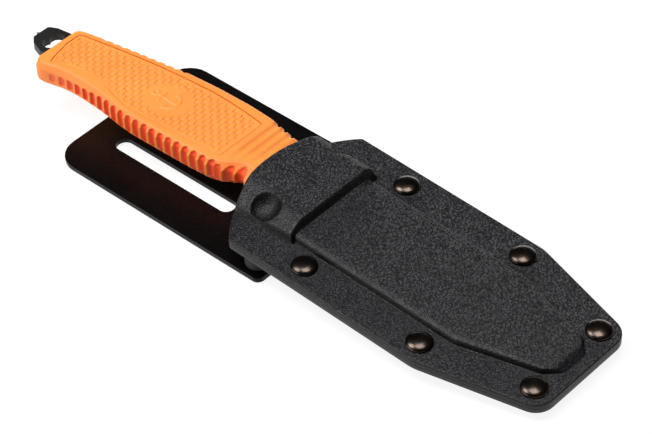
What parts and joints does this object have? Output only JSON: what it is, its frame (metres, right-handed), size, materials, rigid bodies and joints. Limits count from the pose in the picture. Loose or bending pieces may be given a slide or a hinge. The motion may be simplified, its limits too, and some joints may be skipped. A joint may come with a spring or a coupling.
{
  "type": "rigging knife in belt sheath",
  "caption": "Fixed-blade rigging knife with an orange grip and bare tang end, held in a two-shell riveted sheath on a slotted belt plate.",
  "frame": {"origin": "middle of the box's underside, which is the back of the belt plate", "axes": "+X from the butt of the handle towards the sheath's closed end, +Z out of the front of the sheath, +Y towards the knife's spine"},
  "size_m": [0.2396, 0.0634, 0.0203],
  "materials": {
    "blade_steel": "dark coated steel",
    "carbide": "ground grey",
    "core": "moulded black",
    "grip": "soft satin orange",
    "grip_panel": "scaled orange",
    "shell": "pebbled black sheet",
    "rivet": "glossy black",
    "plate": "smooth black",
    "spacer": "matt black",
    "fixing": "blackened"
  },
  "bodies": {
    "sheath": {"front_shell": "shell", "back_shell": "shell", "rivet_cap_1": "rivet", "rivet_cap_2": "rivet", "rivet_cap_3": "rivet", "rivet_cap_4": "rivet", "rivet_cap_5": "rivet", "rivet_cap_6": "rivet", "rivet_socket_1": "rivet", "rivet_socket_2": "rivet", "rivet_socket_3": "rivet", "rivet_socket_4": "rivet", "rivet_socket_5": "rivet", "rivet_socket_6": "rivet", "belt_plate": "plate", "plate_spacer_low": "spacer", "plate_spacer_high": "spacer", "plate_screw_low": "fixing", "plate_screw_high": "fixing", "plate_barrel_low": "fixing", "plate_barrel_high": "fixing"},
    "knife": {"blade": "blade_steel", "breaker_tip": "carbide", "core_front_half": "core", "core_back_half": "core", "grip_overmould": "grip", "front_grip_panel": "grip_panel", "back_grip_panel": "grip_panel"}
  },
  "joints": [
    {"name": "knife_draw", "type": "slide", "parent": "sheath", "child": "knife", "axis": [-0.9986, 0, 0.0523], "range_m": [0, 0.13]}
  ]
}
